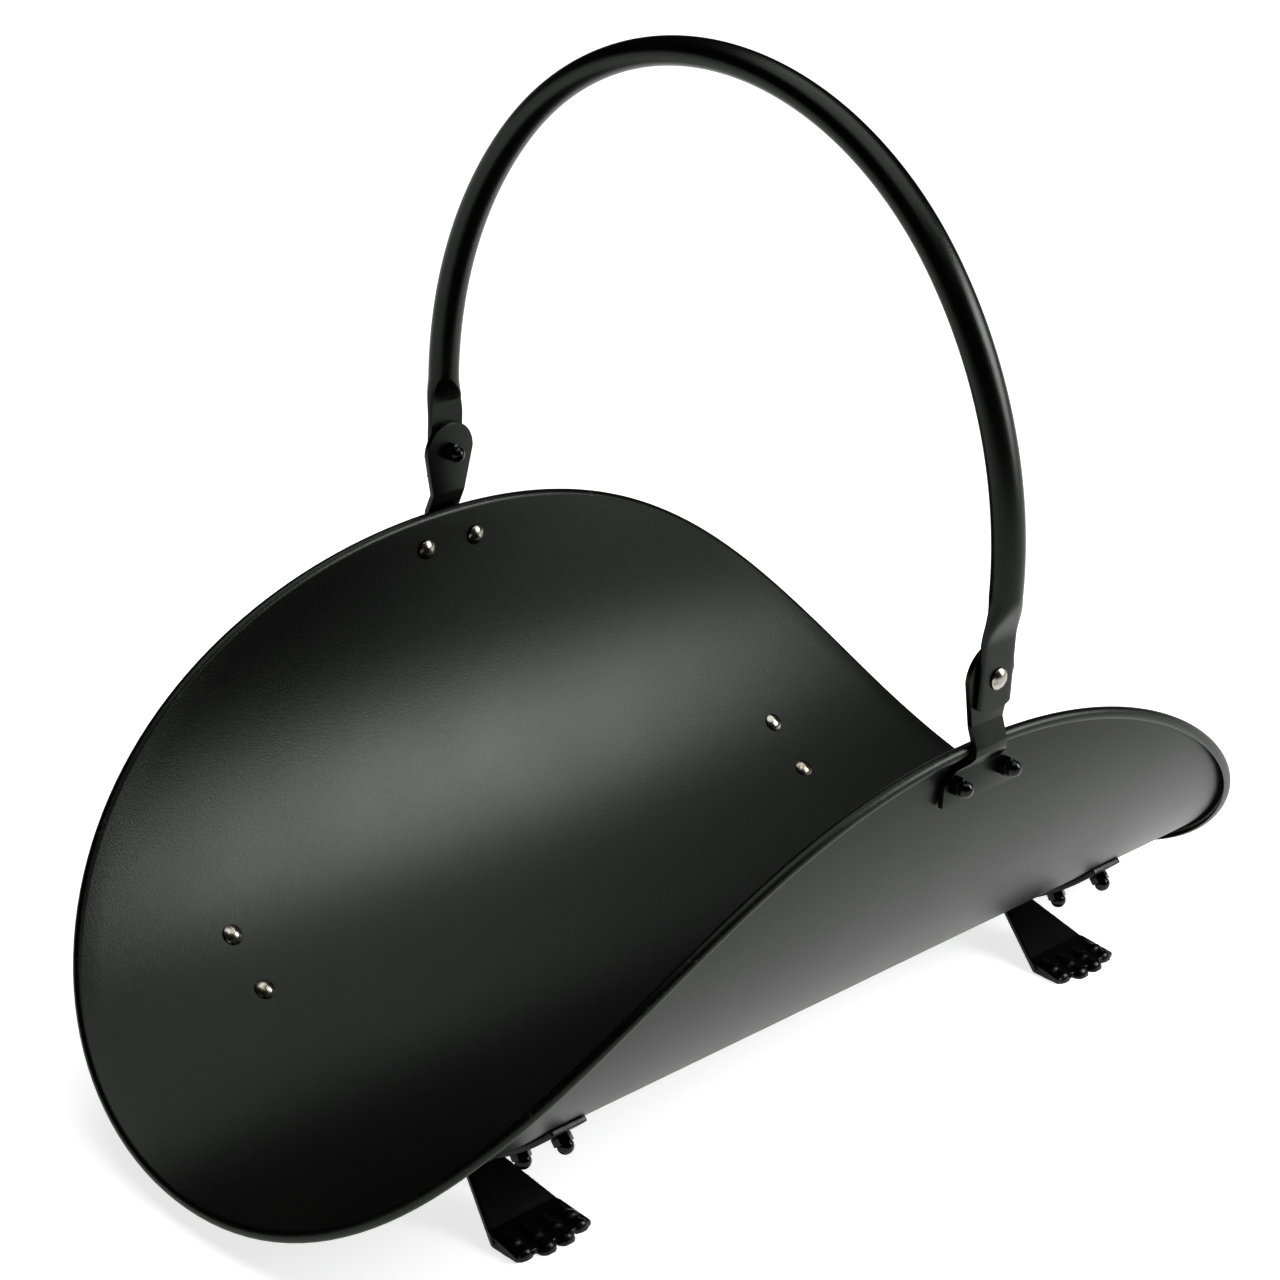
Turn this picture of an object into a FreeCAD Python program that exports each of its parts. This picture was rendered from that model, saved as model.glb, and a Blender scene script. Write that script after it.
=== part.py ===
import FreeCAD, Part
import math
import os

# Firewood log rack: a steel disc bent into a trough, on four paw feet, under a swinging carry handle.
# Units are millimetres. Origin: on the floor, under the middle of the trough. +Z is up, X runs across
# the trough (the handle's pivot axis is parallel to it) and Y runs along it. Right is +X, front is -Y.

Vector = FreeCAD.Vector
X_AXIS = Vector(1, 0, 0)
Y_AXIS = Vector(0, 1, 0)
Z_AXIS = Vector(0, 0, 1)

# ---------------------------------------------------------------- driving dimensions
# Sheet
sheet_half_girth = 280.0      # along the sheet, from the bottom line of the trough to the rim's crest
sheet_half_length = 289.5     # from the middle of the trough to the rim's crest at its front or rear end
sheet_thickness = 1.2
outline_power = 2.1           # 2 is an ellipse; a little more squares the disc's shoulders
bottom_radius = 155.0         # outer face of the trough's bottom
bottom_half_angle = 48.0      # degrees from the bottom line to where the sides begin
side_radius = 195.0           # outer face of the trough's sides
sheet_floor_gap = 13.3        # lowest line of the trough above the floor
curl_radius = 2.8             # outer radius of the rolled rim
curl_turn = 225.0             # degrees that the rim is rolled through
# Feet
foot_plate_thickness = 2.8
foot_plate_width = 20.0
foot_line = 180.5             # distance of the feet from the middle, along the trough
foot_bolt_girth = 88.0        # inner foot bolt, along the sheet from the bottom line
foot_bolt_spacing = 29.6
foot_plate_overhang = 8.0     # plate beyond the outer bolt
foot_bend_girth = 62.0        # where the plate turns back under itself into the leg
foot_bend_radius = 1.2        # inside radius of that bend
ankle_reach = 93.0            # from the trough's middle plane to the ankle, on the floor
paw_length = 20.0             # from the ankle to the tips of the middle toes
paw_height = 6.2
toe_count = 4
toe_pitch = 10.7
toe_radius = 5.6
outer_toe_setback = 3.0
knuckle_dip = 0.45            # how far a toe narrows behind and between its knuckles
pad_height = 4.3
# Handle
handle_half_span = 172.0      # from the middle plane to the tube's axis at the foot of the arch
handle_height = 225.5         # from the pivot line to the tube's axis at the top of the hoop
arch_side_radius = 202.0      # bend of the tube's axis, from the flattening to the shoulders of the hoop
handle_lean = 0.8             # degrees that the handle leans towards the front as it stands
tube_depth = 12.8             # across the oval tube, in the plane of the hoop
tube_width = 16.1             # across the oval tube, along the trough
tube_wall = 1.3
tab_width = 20.5              # flattened end of the tube
tab_thickness = 3.0
tab_length = 24.5             # flat above the pivot
tab_end = 14.7                # flat below the pivot
flattening_length = 13.0      # from the flat to the full oval
joggle = 1.5                  # tube's axis outside the flat's middle plane
tab_end_corner = 2.5          # how much shorter the flat's corners are than its middle
# Brackets
bracket_thickness = 2.5
bracket_base_width = 47.0
bracket_end_height = 10.0
bracket_shoulder_height = 21.0
bracket_neck_width = 20.0
bracket_bolt_girth = 263.0    # along the sheet from the bottom line
bracket_bolt_spacing = 31.8
bracket_bolt_edge = 8.7       # bolts above the base's lower edge
bracket_bend_radius = 1.5     # inside radius of the neck's bends
neck_rise = 9.5               # height over which the neck leans back from the rim to the ear
ear_radius = 14.5
pivot_rise = 29.0             # pivot above the rim's crest
# Fasteners
bolt_radius = 2.5
bolt_head_radius = 4.9
bolt_head_height = 2.6
bolt_head_rim = 0.5
nut_across_flats = 8.0
nut_hex_height = 4.0
nut_height = 8.6
nut_dome_radius = 3.75
nut_bore_depth = 6.3
nut_chamfer = 0.35
thread_engagement = 5.3
# Clearances
bolt_hole_clearance = 0.25    # radial, in the sheet, the plates and the ears
thread_clearance = 0.05       # radial, between a bolt and its nut
pivot_clearance = 0.08        # radial, pivot bolt in the handle's tab: the running fit
seat_gap = 0.03               # between faces that are clamped together
pivot_side_gap = 0.3          # between a tab and its ear, and between a tab and the bolt's head
rim_clearance = 0.4           # between the rolled rim and a bracket's neck

# ---------------------------------------------------------------- derived places
side_start = bottom_radius * math.radians(bottom_half_angle)
side_centre_x = (bottom_radius - side_radius) * math.sin(math.radians(bottom_half_angle))
side_centre_z = bottom_radius - (bottom_radius - side_radius) * math.cos(math.radians(bottom_half_angle))


def sheet_frame(girth, offset):
    """Point, tangent and outward normal at a signed girth, offset outwards from the sheet's outer face."""
    side = -1.0 if girth < 0 else 1.0
    length = abs(girth)
    if length <= side_start:
        angle = length / bottom_radius
        centre_x, centre_z, radius = 0.0, bottom_radius, bottom_radius
    else:
        angle = math.radians(bottom_half_angle) + (length - side_start) / side_radius
        centre_x, centre_z, radius = side_centre_x, side_centre_z, side_radius
    normal = Vector(side * math.sin(angle), 0, -math.cos(angle))
    tangent = Vector(math.cos(angle), 0, side * math.sin(angle))
    arc_centre = Vector(side * centre_x, 0, sheet_floor_gap + centre_z)
    return arc_centre + normal * (radius + offset), tangent, normal


crest = sheet_frame(sheet_half_girth, 0.0)[0]
pivot_z = crest.z + pivot_rise
foot_bolt_girths = (foot_bolt_girth, foot_bolt_girth + foot_bolt_spacing)
side_wall_z = sheet_floor_gap + side_centre_z
bracket_base_plane = side_centre_x + side_radius + seat_gap + bracket_thickness / 2
bracket_bolt_z = sheet_frame(bracket_bolt_girth, 0.0)[0].z
bracket_bolt_ys = (-bracket_bolt_spacing / 2, bracket_bolt_spacing / 2)
paw_half_width = (toe_count - 1) / 2 * toe_pitch + toe_radius
tab_plane = handle_half_span - joggle
ear_outer_face = tab_plane - tab_thickness / 2 - pivot_side_gap
ear_plane = ear_outer_face - bracket_thickness / 2


# ---------------------------------------------------------------- helpers
def placed(shape, origin, z_direction, x_direction):
    """A copy of a shape modelled at the origin, moved so that its own Z and X take these directions."""
    z = Vector(z_direction).normalize()
    y = z.cross(x_direction).normalize()
    x = y.cross(z)
    matrix = FreeCAD.Matrix(x.x, y.x, z.x, origin.x, x.y, y.y, z.y, origin.y, x.z, y.z, z.z, origin.z)
    return shape.transformed(matrix, True)


def mirrored_x(shape):
    return shape.mirror(Vector(), X_AXIS)


def centred_extrusion(face, width):
    """A face in the XZ plane extruded along Y, half of it each way."""
    solid = face.extrude(Y_AXIS * width)
    solid.translate(Y_AXIS * (-width / 2))
    return solid


def fused(pieces):
    """One solid out of several, joined one after another."""
    whole = pieces[0]
    for piece in pieces[1:]:
        whole = whole.fuse(piece)
    return whole


def prism(points, direction):
    """A closed polygon extruded along a direction."""
    return Part.Face(Part.makePolygon(points + points[:1])).extrude(direction)


def closed_curve(points):
    """A smooth closed edge through these points, the first of which isn't repeated."""
    curve = Part.BSplineCurve()
    curve.interpolate(Points=points, PeriodicFlag=True)
    return curve.toShape()


def sewn_solid(faces, tolerance):
    shell = Part.makeShell(faces)
    shell.sewShape(tolerance)
    solid = Part.makeSolid(shell)
    if solid.Volume < 0:
        solid.reverse()
    return solid


# ---------------------------------------------------------------- sheet
rim_stations = 48             # points that the rim's curves pass through
curl_strips = 5               # faces around the rolled rim, inside and outside
strip_rows = 4                # curves that each of those faces passes through
profile_points = 61
profile_margin = 6.0          # sheet surfaces run this far past the crest before they are trimmed
sewing_tolerance = 0.01


def outline(angle):
    """Where the roll starts, as (girth, y), and the outline's outward direction there, in the flat sheet."""
    girth_axis = sheet_half_girth - curl_radius
    length_axis = sheet_half_length - curl_radius
    c, s = math.cos(angle), math.sin(angle)
    reach = (abs(c / girth_axis) ** outline_power + abs(s / length_axis) ** outline_power) ** (-1 / outline_power)
    girth, y = reach * c, reach * s
    slope_girth = math.copysign(abs(girth / girth_axis) ** (outline_power - 1) / girth_axis, girth)
    slope_y = math.copysign(abs(y / length_axis) ** (outline_power - 1) / length_axis, y)
    size = math.hypot(slope_girth, slope_y)
    return girth, y, slope_girth / size, slope_y / size


def curl_point(angle, radius, turn):
    """A point of the rolled rim: turn is measured about the roll's centre, from the sheet's own direction."""
    girth, y, along_girth, along_y = outline(angle)
    centre, tangent, normal = sheet_frame(girth, curl_radius - sheet_thickness)
    outward = tangent * along_girth + Y_AXIS * along_y
    return centre + Y_AXIS * y + outward * (radius * math.cos(turn)) + normal * (radius * math.sin(turn))


def curl_strip(radius, start, end):
    """One face of the roll, between two turns, closed around the rim and smooth both ways."""
    turns = [start + (end - start) * row / (strip_rows - 1) for row in range(strip_rows)]
    stations = [float(i) for i in range(rim_stations + 1)]
    rows = []
    for turn in turns:
        points = [curl_point(2 * math.pi * i / rim_stations, radius, turn) for i in range(rim_stations)]
        row = Part.BSplineCurve()
        row.interpolate(Points=points, Parameters=stations, PeriodicFlag=True)
        rows.append(row)
    poles = []
    for i in range(1, rows[0].NbPoles + 1):
        column = Part.BSplineCurve()
        column.interpolate(Points=[row.getPole(i) for row in rows], Parameters=turns)
        poles.append(column.getPoles())
    surface = Part.BSplineSurface()
    surface.buildFromPolesMultsKnots(poles, rows[0].getMultiplicities(), column.getMultiplicities(),
                                     rows[0].getKnots(), column.getKnots(), True, False,
                                     rows[0].Degree, column.Degree)
    return surface.toShape()


def edge_at(face, point):
    """The face's closed edge that starts at this point."""
    rounds = [e for e in face.Edges if e.isClosed() and not e.isSeam(face)]
    return min(rounds, key=lambda e: (e.valueAt(e.FirstParameter) - point).Length)


def trough_face(offset, rim_edge):
    """The trough's inner or outer face, trimmed where the roll starts."""
    reach = sheet_half_girth + profile_margin
    girths = [-reach + 2 * reach * i / (profile_points - 1) for i in range(profile_points)]
    profile = Part.BSplineCurve()
    profile.interpolate(Points=[sheet_frame(g, offset)[0] for g in girths], Parameters=girths)
    face = Part.Face(Part.SurfaceOfExtrusion(profile, Y_AXIS), Part.Wire([rim_edge]))
    face.validate()
    return face


def make_sheet():
    start = -math.pi / 2
    step = math.radians(curl_turn) / curl_strips
    faces = []
    ends = []
    for radius, offset in ((curl_radius, -sheet_thickness), (curl_radius - sheet_thickness, 0.0)):
        strips = [curl_strip(radius, start + i * step, start + (i + 1) * step) for i in range(curl_strips)]
        faces += strips
        faces.append(trough_face(offset, edge_at(strips[0], curl_point(0, radius, start))))
        ends.append(edge_at(strips[-1], curl_point(0, radius, start + curl_strips * step)))
    faces.append(Part.makeRuledSurface(ends[0], ends[1]))
    sheet = sewn_solid(faces, sewing_tolerance)
    for side in (-1, 1):
        for hole in bracket_holes(side) + foot_holes(side, -foot_line) + foot_holes(side, foot_line):
            sheet = sheet.cut(hole)
    return sheet


def bolt_hole(place, direction):
    """A clearance hole through everything near a place, both ways along a direction."""
    reach = 4 * sheet_thickness + foot_plate_thickness
    hole = Part.makeCylinder(bolt_radius + bolt_hole_clearance, 2 * reach, Vector(0, 0, -reach))
    return placed(hole, place, direction, Y_AXIS)


def foot_holes(girth_side, y):
    """The two holes of one foot, through its plate and the sheet."""
    holes = []
    for girth in foot_bolt_girths:
        point, _, normal = sheet_frame(girth_side * girth, 0.0)
        holes.append(bolt_hole(point + Y_AXIS * y, normal))
    return holes


def bracket_holes(side):
    """The two holes of one bracket, through its base and the sheet."""
    return [bolt_hole(Vector(side * bracket_base_plane, y, bracket_bolt_z), X_AXIS) for y in bracket_bolt_ys]


# ---------------------------------------------------------------- fasteners
def dome_bolt(length):
    """Dome-headed bolt: the head sits on z = 0 and the shank runs down -Z."""
    rim = Vector(bolt_head_radius, 0, bolt_head_rim)
    top = Vector(0, 0, bolt_head_height)
    rise = bolt_head_height - bolt_head_rim
    dome_radius = (bolt_head_radius ** 2 + rise ** 2) / (2 * rise)
    half = math.asin(bolt_head_radius / dome_radius) / 2
    middle = Vector(dome_radius * math.sin(half), 0, bolt_head_height - dome_radius * (1 - math.cos(half)))
    tip_chamfer = bolt_radius / 5
    outline_points = [rim, Vector(bolt_head_radius, 0, 0), Vector(bolt_radius, 0, 0),
                      Vector(bolt_radius, 0, tip_chamfer - length), Vector(bolt_radius - tip_chamfer, 0, -length),
                      Vector(0, 0, -length), top]
    wire = Part.Wire([Part.Arc(top, middle, rim).toShape()] + Part.makePolygon(outline_points).Edges)
    return Part.Face(wire).revolve(Vector(), Z_AXIS, 360)


def acorn_nut():
    """Domed cap nut: the hexagon sits on z = 0, the blind bore opens there and the dome points up +Z."""
    corner = nut_across_flats / math.sqrt(3)
    corners = [Vector(corner * math.cos(math.radians(60 * i)), corner * math.sin(math.radians(60 * i)), 0)
               for i in range(6)]
    hexagon = prism(corners, Z_AXIS * nut_hex_height)
    flat = nut_across_flats / 2
    profile = [Vector(0, 0, 0), Vector(flat, 0, 0), Vector(corner, 0, nut_chamfer),
               Vector(corner, 0, nut_hex_height - nut_chamfer), Vector(flat, 0, nut_hex_height),
               Vector(0, 0, nut_hex_height)]
    turned = Part.Face(Part.makePolygon(profile + profile[:1])).revolve(Vector(), Z_AXIS, 360)
    collar_top = nut_height - nut_dome_radius
    collar = Part.makeCylinder(nut_dome_radius, collar_top)
    dome = Part.makeSphere(nut_dome_radius, Vector(0, 0, collar_top), Z_AXIS, 0, 90, 360)
    bore = Part.makeCylinder(bolt_radius + thread_clearance, nut_bore_depth)
    return hexagon.common(turned).fuse([collar, dome]).removeSplitter().cut(bore)


def fastener_pair(head_seat, nut_seat):
    """A bolt whose head sits at one point, and the nut that its shank carries at the other."""
    way = nut_seat - head_seat
    bolt = dome_bolt(way.Length + thread_engagement)
    return placed(bolt, head_seat, way * -1, Y_AXIS), placed(acorn_nut(), nut_seat, way, Y_AXIS)


def foot_fasteners(girth, y):
    """A foot's bolt, square to the sheet with its head inside the trough, and its nut."""
    point, _, normal = sheet_frame(girth, 0.0)
    inner_radius = bottom_radius - sheet_thickness
    head_lift = inner_radius - math.sqrt(inner_radius ** 2 - bolt_head_radius ** 2) + seat_gap
    centre = point + Y_AXIS * y
    return fastener_pair(centre - normal * (sheet_thickness + head_lift),
                         centre + normal * (foot_plate_thickness + 2 * seat_gap))


def bracket_fasteners(y):
    """A bolt of the right bracket, level and square to its base, and its nut."""
    drop = side_wall_z - bracket_bolt_z + bolt_head_radius
    head_x = side_centre_x + math.sqrt((side_radius - sheet_thickness) ** 2 - drop ** 2) - seat_gap
    nut_x = bracket_base_plane + bracket_thickness / 2 + seat_gap
    return fastener_pair(Vector(head_x, y, bracket_bolt_z), Vector(nut_x, y, bracket_bolt_z))


# ---------------------------------------------------------------- feet
def ring_sector(centre, radii, first, last):
    """Part of a flat ring in the XZ plane, between two directions that are under half a turn apart."""
    middle = (first + last).normalize()
    arcs = [Part.Arc(centre + first * r, centre + middle * r, centre + last * r).toShape() for r in radii]
    joins = [Part.makeLine(centre + way * radii[0], centre + way * radii[1]) for way in (first, last)]
    return Part.Face(Part.Wire(Part.__sortEdges__(arcs + joins)))


def foot_plate():
    """The plate that hugs the sheet, and the unit normal of the sheet where it ends in the bend."""
    trough_centre = Vector(0, 0, sheet_floor_gap + bottom_radius)
    face_radius = bottom_radius + seat_gap
    ends = [foot_bend_girth, foot_bolt_girth + foot_bolt_spacing + foot_plate_overhang]
    normals = [sheet_frame(girth, 0.0)[2] for girth in ends]
    radii = (face_radius, face_radius + foot_plate_thickness)
    return centred_extrusion(ring_sector(trough_centre, radii, *normals), foot_plate_width), normals[0]


def make_right_foot():
    """A right foot centred on y = 0: plate, bend, leg and paw in one piece."""
    plate, bend_normal = foot_plate()
    outer_bend = foot_bend_radius + foot_plate_thickness
    sheet_point = sheet_frame(foot_bend_girth, seat_gap)[0]
    bend_centre = sheet_point + bend_normal * outer_bend
    ankle = Vector(ankle_reach, 0, 0)
    to_ankle = ankle - bend_centre
    slope = math.atan2(-to_ankle.z, to_ankle.x) - math.asin(outer_bend / to_ankle.Length)
    leg_normal = Vector(math.sin(slope), 0, math.cos(slope))
    bend = centred_extrusion(ring_sector(bend_centre, (foot_bend_radius, outer_bend),
                                         bend_normal * -1, leg_normal * -1), foot_plate_width)
    leg = make_leg(bend_centre - leg_normal * outer_bend, ankle, leg_normal)
    foot = fused([plate, bend, leg, paw_pad(leg_normal)] + paw_toes())
    under = Part.makeBox(2 * paw_length + toe_radius, 4 * paw_half_width, toe_radius * 2,
                         Vector(ankle_reach - paw_length, -2 * paw_half_width, -toe_radius * 2))
    foot = foot.cut(under)
    for hole in foot_holes(1, 0.0):
        foot = foot.cut(hole)
    return foot


def make_leg(start, ankle, normal):
    """The sloping leg: as wide as the plate at the bend, and as wide as the paw at the ankle."""
    end = ankle + (ankle - start).normalize() * foot_plate_thickness
    thickness = normal * foot_plate_thickness
    slab = prism([corner - Y_AXIS * paw_half_width for corner in (start, end, end + thickness, start + thickness)],
                 Y_AXIS * 2 * paw_half_width)
    half = foot_plate_width / 2
    back = start.x - foot_plate_thickness
    shoulder = start.x + thickness.x
    front = end.x + foot_plate_thickness
    half_plan = [(back, half), (shoulder, half), (ankle.x, paw_half_width), (front, paw_half_width)]
    plan = half_plan + [(x, -y) for x, y in reversed(half_plan)]
    below = -2 * foot_plate_thickness
    return slab.common(prism([Vector(x, y, below) for x, y in plan], Z_AXIS * (start.z + 3 * sheet_floor_gap)))


def paw_pad(leg_normal):
    """The paw's flat-soled pad, from the ankle to under the toes."""
    front = ankle_reach + paw_length - outer_toe_setback - toe_radius
    ankle_top = foot_plate_thickness / leg_normal.z
    side = [Vector(ankle_reach, 0, 0), Vector(front, 0, 0), Vector(front, 0, pad_height),
            Vector(ankle_reach, 0, ankle_top)]
    return centred_extrusion(Part.Face(Part.makePolygon(side + side[:1])), 2 * paw_half_width)


def paw_toes():
    toes = []
    for i in range(toe_count):
        setback = outer_toe_setback if i in (0, toe_count - 1) else 0.0
        one = toe(ankle_reach, ankle_reach + paw_length - setback)
        one.translate(Vector(0, (i - (toe_count - 1) / 2) * toe_pitch, paw_height - toe_radius))
        toes.append(one)
    return toes


def toe(back, tip):
    """A toe turned about its own length, with a knuckle, a dip and a round tip."""
    reach = tip - back
    curve = Part.BSplineCurve()
    curve.interpolate(Points=[Vector(back, 0, toe_radius - 2 * knuckle_dip),
                              Vector(back + 0.26 * reach, 0, toe_radius),
                              Vector(back + 0.46 * reach, 0, toe_radius - knuckle_dip),
                              Vector(tip - 1.15 * toe_radius, 0, toe_radius),
                              Vector(tip - 0.35 * toe_radius, 0, 0.72 * toe_radius),
                              Vector(tip, 0, 0)],
                      InitialTangent=X_AXIS + Z_AXIS * 0.3, FinalTangent=Z_AXIS * -1)
    edges = [curve.toShape(), Part.makeLine(Vector(tip, 0, 0), Vector(back, 0, 0)),
             Part.makeLine(Vector(back, 0, 0), Vector(back, 0, toe_radius - 2 * knuckle_dip))]
    return Part.Face(Part.Wire(edges)).revolve(Vector(), X_AXIS, 360)


# ---------------------------------------------------------------- brackets
def strip_side(points, shift, middle_radius):
    """One long side of a bent strip: lines and arcs at a distance from its middle line, in the XZ plane."""
    edges = []
    reached = None
    for before, corner, after in zip(points, points[1:], points[2:]):
        into = (corner - before).normalize()
        out = (after - corner).normalize()
        trim = middle_radius * math.tan(into.getAngle(out) / 2)
        first, last = corner - into * trim, corner + out * trim
        to_centre = (out - into).normalize()
        centre = corner + to_centre * math.hypot(middle_radius, trim)
        normal = Vector(into.z, 0, -into.x)
        radius = middle_radius - shift * math.copysign(1, normal.dot(to_centre))
        arc_ends = [centre + (end - centre).normalize() * radius for end in (first, last)]
        edges.append(Part.makeLine(reached or before + normal * shift, arc_ends[0]))
        edges.append(Part.Arc(arc_ends[0], centre - to_centre * radius, arc_ends[1]).toShape())
        reached = arc_ends[1]
    end_normal = Vector(out.z, 0, -out.x)
    edges.append(Part.makeLine(reached, points[-1] + end_normal * shift))
    return edges


def bent_strip(points, thickness, inside_radius):
    """The section of a strip bent along these points of its middle line, in the XZ plane."""
    middle_radius = inside_radius + thickness / 2
    sides = [strip_side(points, shift, middle_radius) for shift in (-thickness / 2, thickness / 2)]
    closing = [Part.makeLine(sides[0][0].firstVertex().Point, sides[1][0].firstVertex().Point),
               Part.makeLine(sides[0][-1].lastVertex().Point, sides[1][-1].lastVertex().Point)]
    return Part.Face(Part.Wire(Part.__sortEdges__(sides[0] + sides[1] + closing)))


def make_right_bracket():
    base_bottom = bracket_bolt_z - bracket_bolt_edge
    half = bracket_thickness / 2
    rim_plane = crest.x + 2 * curl_radius - sheet_thickness + rim_clearance + half
    rim_foot = crest.z - curl_radius * (1 - math.cos(math.radians(curl_turn - 90))) - rim_clearance
    jog = rim_plane - bracket_base_plane
    over_rim = crest.z - curl_radius / 2
    ear_foot = over_rim + neck_rise
    top = pivot_z + ear_radius
    section = bent_strip([Vector(bracket_base_plane, 0, base_bottom),
                          Vector(bracket_base_plane, 0, rim_foot - jog),
                          Vector(rim_plane, 0, rim_foot), Vector(rim_plane, 0, over_rim),
                          Vector(ear_plane, 0, ear_foot), Vector(ear_plane, 0, top)],
                         bracket_thickness, bracket_bend_radius)
    strip = centred_extrusion(section, bracket_base_width)

    base_half = bracket_base_width / 2
    neck_half = bracket_neck_width / 2
    back = Vector(ear_plane - 4 * bracket_thickness, 0, 0)
    shoulder = base_bottom + bracket_shoulder_height
    outline_points = [(-base_half, base_bottom), (base_half, base_bottom),
                      (base_half, base_bottom + bracket_end_height), (neck_half, shoulder),
                      (neck_half, ear_foot), (ear_radius, pivot_z)]
    left_points = [(-y, z) for y, z in outline_points[:1:-1]]
    ring = [Vector(0, y, z) + back for y, z in outline_points]
    edges = Part.makePolygon(ring).Edges
    edges.append(Part.Arc(ring[-1], Vector(0, 0, top) + back, Vector(0, -ear_radius, pivot_z) + back).toShape())
    edges += Part.makePolygon([Vector(0, y, z) + back for y, z in left_points] + [ring[0]]).Edges
    blank = Part.Face(Part.Wire(edges)).extrude(X_AXIS * (rim_plane - ear_plane + 8 * bracket_thickness))
    bracket = strip.common(blank)
    for hole in bracket_holes(1):
        bracket = bracket.cut(hole)
    return bracket.cut(pivot_hole(bolt_radius + bolt_hole_clearance))


def pivot_hole(radius):
    length = 10 * bracket_thickness
    return Part.makeCylinder(radius, length, Vector(tab_plane - length / 2, 0, pivot_z), X_AXIS)


# ---------------------------------------------------------------- handle
section_points = 24
flattening_sections = 5


def oval(z, depth, width):
    """A level section of the round-edged tube, an ellipse that starts at its rear end."""
    centre = Vector(handle_half_span, 0, z)
    return Part.Ellipse(centre + Y_AXIS * width / 2, centre + X_AXIS * depth / 2, centre).toShape()


def pressed_oval(x, z, depth, width, power):
    """A level section of the flattening tube: power 2 is an ellipse, more is a bar with round edges."""
    points = []
    for i in range(section_points):
        angle = 2 * math.pi * i / section_points
        c, s = math.cos(angle), math.sin(angle)
        points.append(Vector(x + depth / 2 * math.copysign(abs(s) ** (2 / power), s),
                             width / 2 * math.copysign(abs(c) ** (2 / power), c), z))
    return closed_curve(points)


def half_arch(section, base_z):
    """The right half of the hoop's surface: a section at its base, swept round the side bend and the top bend."""
    rise = pivot_z + handle_height - base_z
    overhang = arch_side_radius - handle_half_span
    top_radius = (handle_half_span ** 2 + rise ** 2 - 2 * handle_half_span * arch_side_radius) / (
        2 * (rise - arch_side_radius))
    shoulder = math.degrees(math.atan2(rise - top_radius, overhang))
    side_centre = Vector(-overhang, 0, base_z)
    top_centre = Vector(0, 0, base_z + rise - top_radius)
    at_shoulder = section.copy()
    at_shoulder.rotate(side_centre, Y_AXIS, -shoulder)
    return [section.revolve(side_centre, Y_AXIS, -shoulder),
            at_shoulder.revolve(top_centre, Y_AXIS, shoulder - 90)]


def mirrored_pair(right_faces):
    """The solid that these faces and their mirror images close."""
    return sewn_solid(right_faces + [mirrored_x(face) for face in right_faces], sewing_tolerance)


def make_handle():
    """Oval tube hoop with flattened, joggled ends, hollow as far as the flattening."""
    full_z = pivot_z + tab_length + flattening_length
    right_faces = half_arch(oval(full_z, tube_depth, tube_width), full_z)
    sections = [Part.Wire([oval(full_z, tube_depth, tube_width)])]
    for i in range(1, flattening_sections):
        share = i / (flattening_sections - 1)
        eased = share * share * (3 - 2 * share)
        sections.append(Part.Wire([pressed_oval(handle_half_span - joggle * eased,
                                                full_z - flattening_length * share,
                                                tube_depth + (tab_thickness - tube_depth) * eased,
                                                tube_width + (tab_width - tube_width) * eased,
                                                2.0 + 1.2 * eased)]))
    right_faces += Part.makeLoft(sections, False, False).Faces
    tab_edge = sections[-1].Edges[0]
    tab_drop = tab_length + tab_end
    right_faces.append(tab_edge.extrude(Z_AXIS * -tab_drop))
    bottom = sections[-1].copy()
    bottom.translate(Z_AXIS * -tab_drop)
    right_faces.append(Part.Face(bottom))
    outer = mirrored_pair(right_faces)

    bore_oval = oval(full_z, tube_depth - 2 * tube_wall, tube_width - 2 * tube_wall)
    bore = mirrored_pair(half_arch(bore_oval, full_z) + [Part.Face(Part.Wire([bore_oval]))])

    handle = outer.cut(bore)
    for side in (-1, 1):
        handle = handle.cut(tab_end_waste(side))
    hole = pivot_hole(bolt_radius + pivot_clearance)
    handle = handle.cut([hole, mirrored_x(hole)])
    handle.rotate(Vector(0, 0, pivot_z), X_AXIS, handle_lean)
    return handle


def tab_end_waste(side):
    """What is trimmed off a square tab end to round it."""
    half = tab_width / 2 + 1
    low = pivot_z - tab_end
    corner = low + tab_end_corner
    below = low - tab_end_corner
    start = Vector(side * tab_plane - tab_thickness, -half, corner)
    end = Vector(start.x, half, corner)
    edges = [Part.Arc(start, Vector(start.x, 0, low), end).toShape()]
    edges += Part.makePolygon([end, Vector(start.x, half, below), Vector(start.x, -half, below), start]).Edges
    return Part.Face(Part.Wire(edges)).extrude(X_AXIS * 2 * tab_thickness)


def pivot_fasteners():
    """The right pivot bolt, head outside the handle's tab, and its nut inside the bracket's ear."""
    head_face = tab_plane + tab_thickness / 2 + pivot_side_gap
    ear_inner_face = ear_plane - bracket_thickness / 2
    bolt = dome_bolt(head_face - ear_inner_face + thread_engagement)
    inwards = X_AXIS * -1
    return (placed(bolt, Vector(head_face, 0, pivot_z), X_AXIS, Y_AXIS),
            placed(acorn_nut(), Vector(ear_inner_face - seat_gap, 0, pivot_z), inwards, Y_AXIS))


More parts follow.
